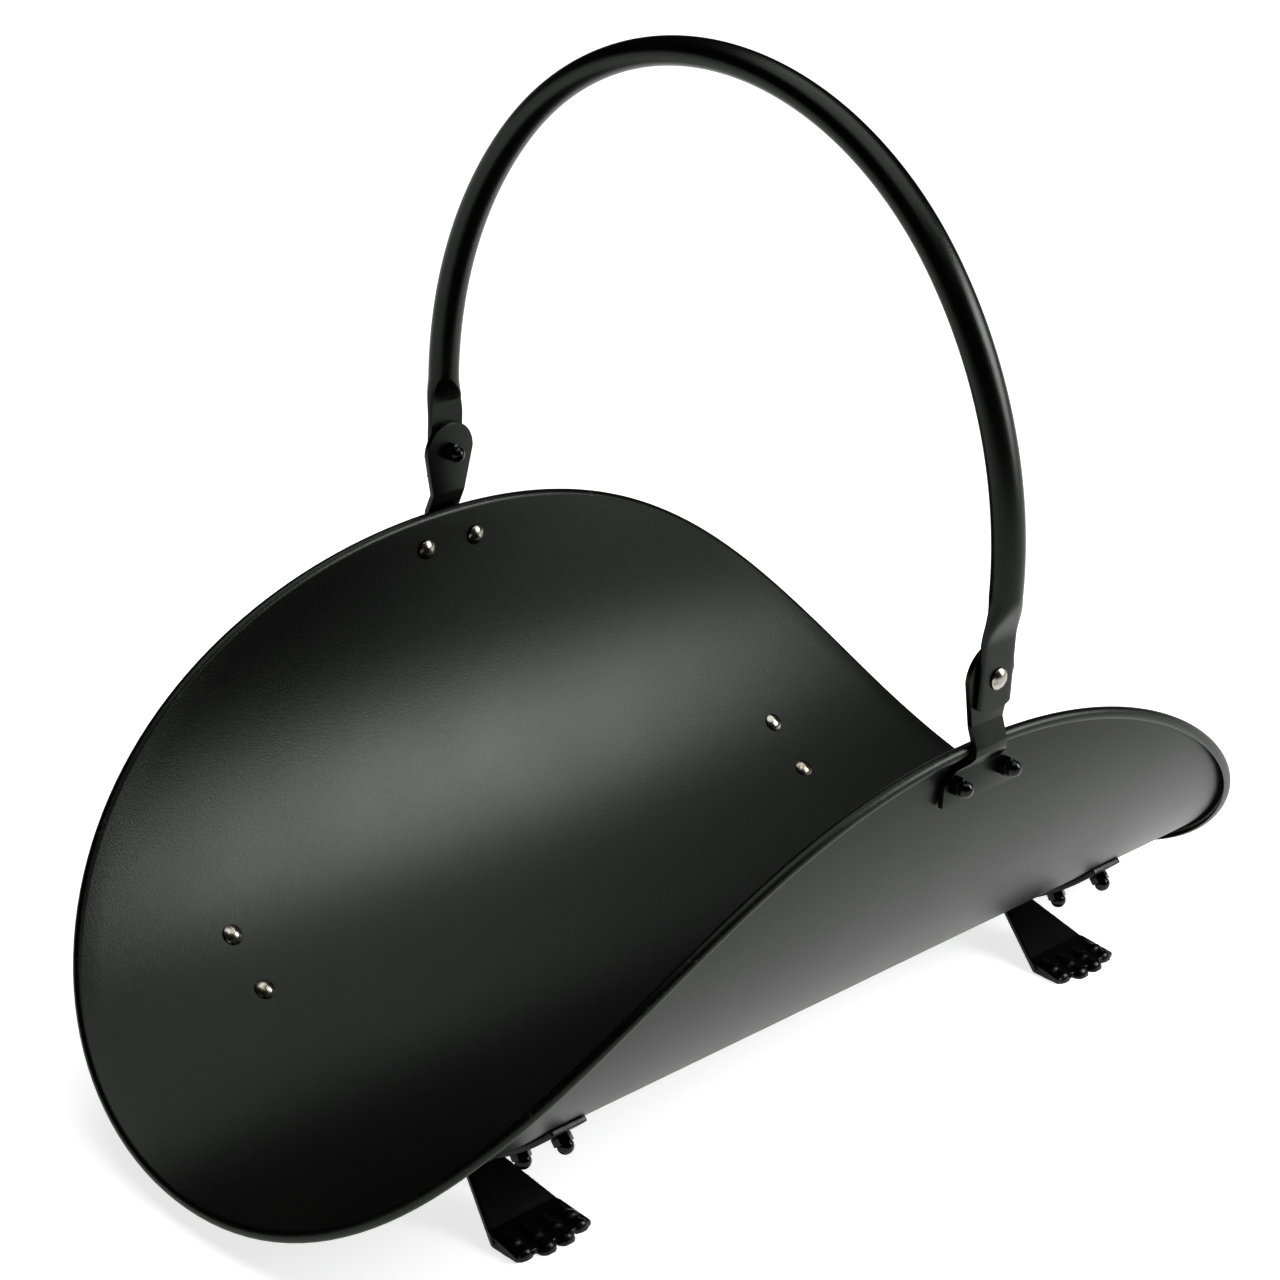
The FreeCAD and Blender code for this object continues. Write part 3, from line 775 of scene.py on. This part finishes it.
# ------------------------------------------------------------------------------------- brackets
@dataclass
class EarBracket:
    """A bracket: a base on the trough's side, a joggled neck round the rim, and a round ear."""

    sheet: RolledSheet
    pivot_height: float
    ear_plane: float
    thickness: float = 0.0025
    base_width: float = 0.047
    end_height: float = 0.010
    shoulder_height: float = 0.021
    neck_width: float = 0.020
    bolt_girth: float = 0.263
    bolt_spacing: float = 0.0318
    bolt_edge: float = 0.0087
    bend_radius: float = 0.0025
    neck_rise: float = 0.0095
    ear_radius: float = 0.0145
    clearance: float = 0.0004
    seat: float = 0.00003
    edge_round: float = 0.0004
    mark_place: tuple[float, float] = (0.0133, 0.0076)
    mark_radius: float = 0.0013
    mark_depth: float = 0.0004

    def base_plane(self) -> float:
        """The middle plane of the base."""
        widest = max(self.sheet.frame_at(g / 1000, 0.0)[0].x for g in range(200, 280))
        return widest + self.seat + self.thickness / 2

    def bolt_height(self) -> float:
        """The height of the two base bolts."""
        return self.sheet.frame_at(self.bolt_girth, 0.0)[0].z

    def bend_line(self) -> list[Vector]:
        """The corners of the strip's middle line, from the base's lower edge to the ear's top."""
        sheet = self.sheet
        crest = sheet.frame_at(sheet.half_girth, 0.0)[0]
        base, bottom = self.base_plane(), self.bolt_height() - self.bolt_edge
        rim = crest.x + 2 * sheet.curl_radius - sheet.thickness + self.clearance + self.thickness / 2
        curled = 1 - math.cos(math.radians(sheet.curl_turn - 90))
        under = crest.z - sheet.curl_radius * curled - self.clearance
        over = crest.z - sheet.curl_radius / 2
        corners = [(base, bottom), (base, under - (rim - base)), (rim, under), (rim, over),
                   (self.ear_plane, over + self.neck_rise),
                   (self.ear_plane, self.pivot_height + self.ear_radius)]
        return [Vector((x, 0, z)) for x, z in corners]

    def middle_line(self) -> list[Vector]:
        """The strip's middle line with its corners bent round a radius."""
        corners = self.bend_line()
        radius = self.bend_radius + self.thickness / 2
        line = [corners[0]]
        for before, corner, after in zip(corners, corners[1:], corners[2:]):
            into, out = (corner - before).normalized(), (after - corner).normalized()
            trim = radius * math.tan(into.angle(out) / 2)
            first, last = corner - into * trim, corner + out * trim
            for i in range(9):
                t = i / 8
                line.append(first * (1 - t) ** 2 + corner * (2 * t * (1 - t)) + last * t ** 2)
        return line + [corners[-1]]

    def width_at(self, height: float) -> float:
        """The strip's width at a height."""
        bottom = self.bolt_height() - self.bolt_edge
        ear_foot = self.bend_line()[-2].z
        knots = [(bottom, self.base_width), (bottom + self.end_height, self.base_width),
                 (bottom + self.shoulder_height, self.neck_width), (ear_foot, self.neck_width),
                 (self.pivot_height, 2 * self.ear_radius)]
        for (low, low_width), (high, high_width) in zip(knots, knots[1:]):
            if height <= high:
                return low_width + (high_width - low_width) * (height - low) / (high - low)
        up = (height - self.pivot_height) / self.ear_radius
        return 2 * self.ear_radius * math.sqrt(max(0.0, 1 - up * up))

    def stations(self) -> list[tuple[float, float, float]]:
        """The fold lines of the strip, with its width at each."""
        line = self.middle_line()
        bottom = self.bolt_height() - self.bolt_edge
        breaks = [bottom + self.end_height, bottom + self.shoulder_height, self.pivot_height]
        breaks += [self.pivot_height + self.ear_radius * math.sin(math.radians(a)) for a in range(6, 90, 6)]
        for height in breaks:
            for i, (low, high) in enumerate(zip(line, line[1:])):
                if low.z + 1e-7 < height < high.z - 1e-7:
                    line.insert(i + 1, low.lerp(high, (height - low.z) / (high.z - low.z)))
                    break
        return [(p.x, p.z, self.width_at(p.z)) for p in line[:-1]] + [(line[-1].x, line[-1].z, 0.0)]

    def stamped(self, bracket: bpy.types.Object) -> None:
        """Stamp the small hook-shaped mark into the base's upper rear corner."""
        stamp = started("hook_stamp", bpy.ops.mesh.primitive_torus_add, major_radius=self.mark_radius,
                        minor_radius=self.mark_depth, major_segments=32, minor_segments=12)
        with shaping(stamp):
            bpy.ops.mesh.select_all(action="SELECT")
            bpy.ops.mesh.bisect(plane_co=(0, 0, 0), plane_no=(1, 0.5, 0), use_fill=True, clear_outer=True)
        stamp.data.transform(Matrix.Rotation(math.pi / 2, 4, "Y"))
        y, rise = self.mark_place
        stamp.data.transform(Matrix.Translation((self.base_plane() + self.thickness / 2, y,
                                                 self.bolt_height() + rise)))
        combined(bracket, stamp, "DIFFERENCE")

    def build(self, finish: bpy.types.Material) -> None:
        """Model the right bracket, mirror it for the left, and fit both."""
        right = cleaned(pulled_strip("right_ear_bracket", self.stations()))
        worked(right, "SOLIDIFY", thickness=self.thickness, offset=0.0, use_even_offset=True)
        worked(right, "BEVEL", width=self.edge_round, segments=3, limit_method="ANGLE",
               angle_limit=math.radians(40))
        smoothed(cleaned(right), 30)
        left = copied(right, "left_ear_bracket", Matrix.Diagonal((-1, 1, 1, 1)))
        self.stamped(right)
        fitted(smoothed(right, 30), "basket", "right_handle_bracket", finish)
        fitted(left, "basket", "left_handle_bracket", finish)


# ------------------------------------------------------------------------------------- feet
@dataclass
class PawFoot:
    """A foot: a curved plate under the trough, a tight bend, a flaring leg and a paw with four toes."""

    sheet: RolledSheet
    line: float = 0.1805
    thickness: float = 0.0028
    plate_width: float = 0.020
    plate_end: float = 0.1256
    bend_girth: float = 0.062
    bend_radius: float = 0.0012
    ankle_reach: float = 0.093
    paw_length: float = 0.020
    toe_pitch: float = 0.0107
    toe_radius: float = 0.0055
    toe_axis: float = 0.0018
    toe_drop: float = 0.0025
    outer_setback: float = 0.003
    ankle_height: float = 0.0056
    pad_height: float = 0.0030
    pad_length: float = 0.0155
    seat: float = 0.00003
    casting_grain: float = 0.0004
    sole_trim: float = 0.00004

    def paw_width(self) -> float:
        """The width across the four toes."""
        return 3 * self.toe_pitch + 2 * self.toe_radius + 0.0002

    def strap_stations(self) -> list[tuple[float, float, float]]:
        """The fold lines of the plate, the bend and the leg, with the width at each."""
        sheet, half = self.sheet, self.thickness / 2
        trough = Vector((0, 0, sheet.floor_gap + sheet.bottom_radius))
        ends = [math.degrees(g / sheet.bottom_radius) - 90 for g in (self.plate_end, self.bend_girth)]
        plate = arc_points(trough, sheet.bottom_radius + self.seat + half, ends[0], ends[1], 17)
        point, normal = sheet.frame_at(self.bend_girth, self.seat)
        outer = self.bend_radius + self.thickness
        centre = point + normal * outer
        ankle = Vector((self.ankle_reach, 0, 0))
        to_ankle = ankle - centre
        slope = math.atan2(-to_ankle.z, to_ankle.x) - math.asin(outer / to_ankle.length)
        leg_normal = Vector((math.sin(slope), 0, math.cos(slope)))
        first = math.degrees(math.atan2(-normal.z, -normal.x))
        last = math.degrees(math.atan2(-leg_normal.z, -leg_normal.x)) % 360
        bend = arc_points(centre, self.bend_radius + half, first % 360, last, 13)
        foot = ankle + leg_normal * half
        start = bend[-1]
        shoulder = start.x + self.thickness
        stations = [(p.x, p.z, self.plate_width) for p in plate + bend[1:]]
        for i in range(1, 13):
            spot = start.lerp(foot, i / 12)
            flare = min(1.0, max(0.0, (spot.x - shoulder) / (self.ankle_reach - shoulder)))
            width = self.plate_width + (self.paw_width() - self.plate_width) * flare
            stations.append((spot.x, spot.z, width))
        return stations

    def toe(self, name: str, tip: float, y: float) -> bpy.types.Object:
        """Turn one toe with two crowns, lay it along X and cut it off at the floor.

        Args:
            name: The toe's name.
            tip: Where it ends, along X.
            y: Where it lies, along Y.

        Returns:
            The new object.
        """
        back = self.ankle_reach
        reach, radius = tip - back, self.toe_radius
        crowns = [(0.70, 0.0), (0.74, 0.22), (0.84, 0.30), (0.95, 0.37), (1.0, 0.44), (0.97, 0.50),
                  (0.87, 0.56), (0.80, 0.61), (0.79, 0.66), (0.84, 0.71), (0.90, 0.76), (0.91, 0.81),
                  (0.86, 0.87), (0.72, 0.93), (0.48, 0.975)]
        outline = [(0.0, 0.0)] + [(r * radius, t * reach) for r, t in crowns] + [(0.0, reach)]
        toe = turned(name, outline, 32)
        toe.data.transform(Matrix.Rotation(math.pi / 2 + math.atan2(self.toe_drop, reach), 4, "Y"))
        toe.data.transform(Matrix.Translation((back, y, self.toe_axis)))
        with shaping(toe):
            bpy.ops.mesh.select_all(action="SELECT")
            bpy.ops.mesh.bisect(plane_co=(0, 0, 0), plane_no=(0, 0, 1), use_fill=True, clear_inner=True)
        return toe

    def pad(self) -> bpy.types.Object:
        """The flat-soled wedge that carries the leg's slope forward to the toes."""
        back, front = self.ankle_reach - 0.0035, self.ankle_reach + self.pad_length
        pad = started("pad", bpy.ops.mesh.primitive_cube_add, size=1.0)
        with shaping(pad):
            bpy.ops.mesh.select_all(action="SELECT")
            bpy.ops.transform.resize(value=(front - back, self.paw_width(), self.ankle_height),
                                     center_override=(0, 0, 0))
            bpy.ops.transform.translate(value=((front + back) / 2, 0, self.ankle_height / 2))
            pick(pad, lambda place: place.z > self.ankle_height / 2 and place.x > self.ankle_reach)
            bpy.ops.transform.translate(value=(0, 0, self.pad_height - self.ankle_height))
            pick(pad, lambda place: place.z > 0.001 and place.x < self.ankle_reach)
            bpy.ops.transform.resize(value=(1, 0.93, 1), center_override=(0, 0, 0))
            pick(pad, lambda place: place.z < 0.001 and place.x < self.ankle_reach)
            bpy.ops.transform.translate(value=(0.003, 0, 0))
        return worked(pad, "BEVEL", width=0.0006, segments=2, limit_method="ANGLE")

    def build(self, finish: bpy.types.Material) -> None:
        """Model one foot as a casting, set a copy at each corner, and fit all four."""
        strap = cleaned(pulled_strip("paw_foot", self.strap_stations()))
        worked(strap, "SOLIDIFY", thickness=self.thickness, offset=0.0, use_even_offset=True)
        parts = [cleaned(strap), self.pad()]
        for i in range(4):
            tip = self.ankle_reach + self.paw_length - (self.outer_setback if i in (0, 3) else 0.0)
            parts.append(self.toe(f"toe_{i}", tip, (i - 1.5) * self.toe_pitch))
        foot = joined(parts)
        worked(foot, "REMESH", mode="VOXEL", voxel_size=self.casting_grain)
        worked(foot, "SMOOTH", factor=0.5, iterations=9)
        with shaping(foot):
            bpy.ops.mesh.select_all(action="SELECT")
            bpy.ops.mesh.bisect(plane_co=(0, 0, self.sole_trim), plane_no=(0, 0, 1), use_fill=True,
                                clear_inner=True)
        smoothed(cleaned(foot), 60)
        for side in Side:
            for end in End:
                place = f"{end.name}_{side.name}".lower()
                move = Matrix.Translation((0, end.value * self.line, 0)) @ Matrix.Diagonal(
                    (side.value, 1, 1, 1))
                copy = copied(foot, f"{place}_paw_foot", move)
                fitted(copy, "basket", f"{place}_foot", finish)
        bpy.data.objects.remove(foot)


# ------------------------------------------------------------------------------------- fasteners
@dataclass
class DomeBolt:
    """A dome-headed bolt."""

    radius: float = 0.0025
    head_radius: float = 0.0049
    head_height: float = 0.0026
    head_rim: float = 0.0005
    engagement: float = 0.0053

    def turn(self, name: str, length: float) -> bpy.types.Object:
        """Turn a bolt whose head sits on z = 0, with its shank down -Z.

        Args:
            name: The bolt's name.
            length: Its length under the head.

        Returns:
            The new object.
        """
        rise = self.head_height - self.head_rim
        dome = (self.head_radius ** 2 + rise ** 2) / (2 * rise)
        half = math.asin(self.head_radius / dome)
        crown = [(dome * math.sin(half * i / 9), self.head_height - dome * (1 - math.cos(half * i / 9)))
                 for i in range(9)]
        lip = [(self.head_radius - 0.0001, self.head_rim + 0.00012),
               (self.head_radius, self.head_rim - 0.00005),
               (self.head_radius, 0.0001), (self.head_radius - 0.0001, 0.0)]
        tip = self.radius / 5
        shank = [(self.radius, 0.0), (self.radius, tip - length), (self.radius - tip, -length),
                 (0.0, -length)]
        return smoothed(turned(name, crown + lip + shank, 40), 50)


@dataclass
class CapNut:
    """A domed cap nut: a hexagon with turned corners under a collar and a round dome."""

    flats: float = 0.008
    hex_height: float = 0.004
    height: float = 0.0086
    dome_radius: float = 0.00375
    chamfer: float = 0.00035

    def make(self, name: str) -> bpy.types.Object:
        """Make a nut that sits on z = 0, with its dome up.

        Args:
            name: The nut's name.

        Returns:
            The new object.
        """
        corner = self.flats / math.sqrt(3)
        nut = started(name, bpy.ops.mesh.primitive_cylinder_add, vertices=6, radius=corner,
                      depth=self.hex_height)
        with shaping(nut):
            bpy.ops.mesh.select_all(action="SELECT")
            bpy.ops.transform.translate(value=(0, 0, self.hex_height / 2))
        flat = self.flats / 2
        crowning = turned("crowning", [(0.0, 0.0), (flat, 0.0), (corner, self.chamfer),
                                       (corner, self.hex_height - self.chamfer), (flat, self.hex_height),
                                       (0.0, self.hex_height)], 72)
        combined(nut, crowning, "INTERSECT")
        worked(nut, "BEVEL", width=0.00015, segments=2, limit_method="ANGLE", angle_limit=math.radians(50))
        shoulder = self.height - self.dome_radius
        waist = self.dome_radius * 0.94
        dome = [(self.dome_radius * math.cos(math.radians(a)),
                 shoulder + self.dome_radius * math.sin(math.radians(a))) for a in range(0, 90, 9)]
        cap = turned("cap", [(0.0, self.hex_height - 0.001), (waist, self.hex_height - 0.001),
                             (waist, self.hex_height + 0.0002), (self.dome_radius, shoulder - 0.0002)] + dome
                     + [(0.0, self.height)], 48)
        combined(nut, cap, "UNION")
        return smoothed(cleaned(nut), 32)


def aimed(place: Vector, way: Vector) -> Matrix:
    """The move that takes the origin to a place and +Z to a direction."""
    return Matrix.Translation(place) @ way.to_track_quat("Z", "Y").to_matrix().to_4x4()


@dataclass
class Fasteners:
    """Every bolt and nut of the rack."""

    sheet: RolledSheet
    bracket: EarBracket
    foot: PawFoot
    head_face: float
    bolt: DomeBolt = field(default_factory=DomeBolt)
    nut: CapNut = field(default_factory=CapNut)
    foot_girths: tuple[float, float] = (0.088, 0.1176)
    seat: float = 0.00003
    nut_turn: float = 70.0  # radians for each metre along the trough, since nuts end up turned by chance

    def pair(self, head: Vector, seat: Vector, bolt_node: str, nut_node: str, side: Side, y: float,
             metal: bpy.types.Material, black: bpy.types.Material) -> None:
        """Set a bolt and its nut.

        Args:
            head: Where the head sits, on the right side and at y = 0.
            seat: Where the nut sits.
            bolt_node: The CAD node of the bolt.
            nut_node: The CAD node of the nut.
            side: The side of the rack.
            y: The place along the trough.
            metal: The bolt's finish.
            black: The nut's finish.
        """
        way = seat - head
        move = Matrix.Diagonal((side.value, 1, 1, 1)) @ Matrix.Translation((0, y, 0))
        pattern = self.bolt.turn("pattern_bolt", way.length + self.bolt.engagement)
        turn = Matrix.Rotation(self.nut_turn * y, 4, "Z")
        bolt = copied(pattern, bolt_node + "_dome", move @ aimed(head, -way))
        nut = copied(self.pattern_nut, nut_node + "_cap", move @ aimed(seat, way) @ turn)
        fitted(bolt, "basket", bolt_node, metal)
        fitted(nut, "basket", nut_node, black)
        bpy.data.objects.remove(pattern)

    def build(self, finishes: Finishes) -> None:
        """Set the foot, bracket and pivot fasteners on both sides."""
        self.pattern_nut = self.nut.make("pattern_nut")
        inner_radius = self.sheet.bottom_radius - self.sheet.thickness
        lift = inner_radius - math.sqrt(inner_radius ** 2 - self.bolt.head_radius ** 2) + self.seat
        shift = (self.sheet.bottom_radius - self.sheet.side_radius)
        turn = math.radians(self.sheet.bottom_half_angle)
        wall_x = shift * math.sin(turn)
        wall_z = self.sheet.floor_gap + self.sheet.bottom_radius - shift * math.cos(turn)
        drop = wall_z - self.bracket.bolt_height() + self.bolt.head_radius
        inside = self.sheet.side_radius - self.sheet.thickness
        base_head = wall_x + math.sqrt(inside ** 2 - drop ** 2) - self.seat
        base_seat = self.bracket.base_plane() + self.bracket.thickness / 2 + self.seat
        ear_face = self.bracket.ear_plane - self.bracket.thickness / 2 - self.seat
        for side in Side:
            name = side.name.lower()
            self.pair(Vector((self.head_face, 0, self.bracket.pivot_height)),
                      Vector((ear_face, 0, self.bracket.pivot_height)),
                      f"{name}_pivot_bolt", f"{name}_pivot_nut", side, 0.0, finishes.bolt, finishes.nut)
            for end in End:
                corner = f"{end.name.lower()}_{name}"
                self.pair(Vector((base_head, 0, self.bracket.bolt_height())),
                          Vector((base_seat, 0, self.bracket.bolt_height())),
                          f"{corner}_bracket_bolt", f"{corner}_bracket_nut", side,
                          end.value * self.bracket.bolt_spacing / 2, finishes.bolt, finishes.nut)
                for spot, girth in zip(("inner", "outer"), self.foot_girths):
                    point, normal = self.sheet.frame_at(girth, 0.0)
                    self.pair(point - normal * (self.sheet.thickness + lift),
                              point + normal * (self.foot.thickness + 2 * self.seat),
                              f"{corner}_foot_bolt_{spot}", f"{corner}_foot_nut_{spot}", side,
                              end.value * self.foot.line, finishes.bolt, finishes.nut)
        bpy.data.objects.remove(self.pattern_nut)


# ------------------------------------------------------------------------------------- studio
@dataclass
class Studio:
    """The pale floor, the soft lights and the camera."""

    camera_place: tuple[float, float, float] = (0.9171, -0.9975, 0.7764)
    camera_azimuth: float = 43.631
    camera_elevation: float = 23.472
    camera_roll: float = 3.19
    lens: float = 91.77
    air: float = 0.02
    floor_glow: float = 0.55

    def camera(self) -> None:
        """Set the camera."""
        azimuth, elevation = math.radians(self.camera_azimuth), math.radians(self.camera_elevation)
        back = Vector((math.sin(azimuth) * math.cos(elevation), -math.cos(azimuth) * math.cos(elevation),
                       math.sin(elevation)))
        level = Vector((math.cos(azimuth), math.sin(azimuth), 0))
        across = level * math.cos(math.radians(self.camera_roll)) + back.cross(level) * math.sin(
            math.radians(self.camera_roll))
        turn = Matrix((across, back.cross(across), back)).transposed()
        data = bpy.data.cameras.new("view")
        data.lens, data.sensor_width, data.clip_start, data.clip_end = self.lens, 36.0, 0.05, 50.0
        camera = bpy.data.objects.new("view", data)
        camera.matrix_world = Matrix.Translation(self.camera_place) @ turn.to_4x4()
        bpy.context.scene.collection.objects.link(camera)
        bpy.context.scene.camera = camera

    def soft_light(self, name: str, place: tuple[float, float, float], size: float, radiance: float,
                   aim: tuple[float, float, float] = (0, 0, 0.15), spread: float = 180.0) -> None:
        """Hang a square soft light, which the camera doesn't see.

        Args:
            name: The light's name.
            place: Where it hangs.
            size: The length of its side.
            radiance: How bright its face is, in watts per square metre and steradian.
            aim: The point it faces.
            spread: How wide it shines, in degrees. A grid on the softbox narrows it.
        """
        data = bpy.data.lights.new(name, "AREA")
        data.shape, data.size, data.energy = "SQUARE", size, radiance * math.pi * size * size
        data.spread = math.radians(spread)
        light = bpy.data.objects.new(name, data)
        light.visible_camera = False
        way = Vector(aim) - Vector(place)
        light.matrix_world = Matrix.Translation(place) @ way.to_track_quat("-Z", "Y").to_matrix().to_4x4()
        bpy.context.scene.collection.objects.link(light)

    def floor(self) -> None:
        """Lay the pale floor."""
        floor = started("studio_floor", bpy.ops.mesh.primitive_plane_add, size=60.0)
        paint = Paint("studio_floor_pale", {
            "Roughness": 0.9, "Specular IOR Level": 0.1, "Emission Color": (1, 1, 1, 1),
            "Emission Strength": self.floor_glow})
        cloud = paint.noise(0.5, 2.0)
        floor.data.materials.append(paint.finished(
            base_color=paint.mixed(cloud, (0.90, 0.90, 0.90, 1), (0.92, 0.92, 0.92, 1))))

    def build(self) -> None:
        """Set up the studio."""
        scene = bpy.context.scene
        scene.view_settings.view_transform = "Standard"
        scene.view_settings.look = "High Contrast"
        world = bpy.data.worlds.new("studio_air")
        world.use_nodes = True
        world.node_tree.nodes["Background"].inputs["Color"].default_value = (1, 1, 1, 1)
        world.node_tree.nodes["Background"].inputs["Strength"].default_value = self.air
        scene.world = world
        self.camera()
        self.floor()
        self.soft_light("key_softbox", (0.47, 0.50, 0.52), 0.46, 1.15, (-0.13, -0.02, 0.09), 75.0)
        self.soft_light("top_softbox", (0.0, 0.6, 3.2), 3.6, 1.2)


def main() -> None:
    """Build the rack around the frame and set up the studio."""
    logging.basicConfig(level=logging.INFO, format="%(name)s %(message)s")
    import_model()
    low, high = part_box("right_pivot_bolt")
    pivot_height = (low.z + high.z) / 2
    finishes = Finishes()
    sheet = RolledSheet()
    sheet.build(finishes.sheet)
    handle = HoopHandle(pivot_height)
    handle.build(finishes.handle)
    tab_plane = handle.half_span - handle.joggle
    ear_face = tab_plane - handle.tab_thickness / 2 - SIDE_GAP
    head_face = tab_plane + handle.tab_thickness / 2 + SIDE_GAP
    bracket = EarBracket(sheet, pivot_height, ear_face - EarBracket.thickness / 2)
    bracket.build(finishes.bracket)
    foot = PawFoot(sheet)
    foot.build(finishes.foot)
    Fasteners(sheet, bracket, foot, head_face).build(finishes)
    Studio().build()


if __name__ == "__main__":
    main()
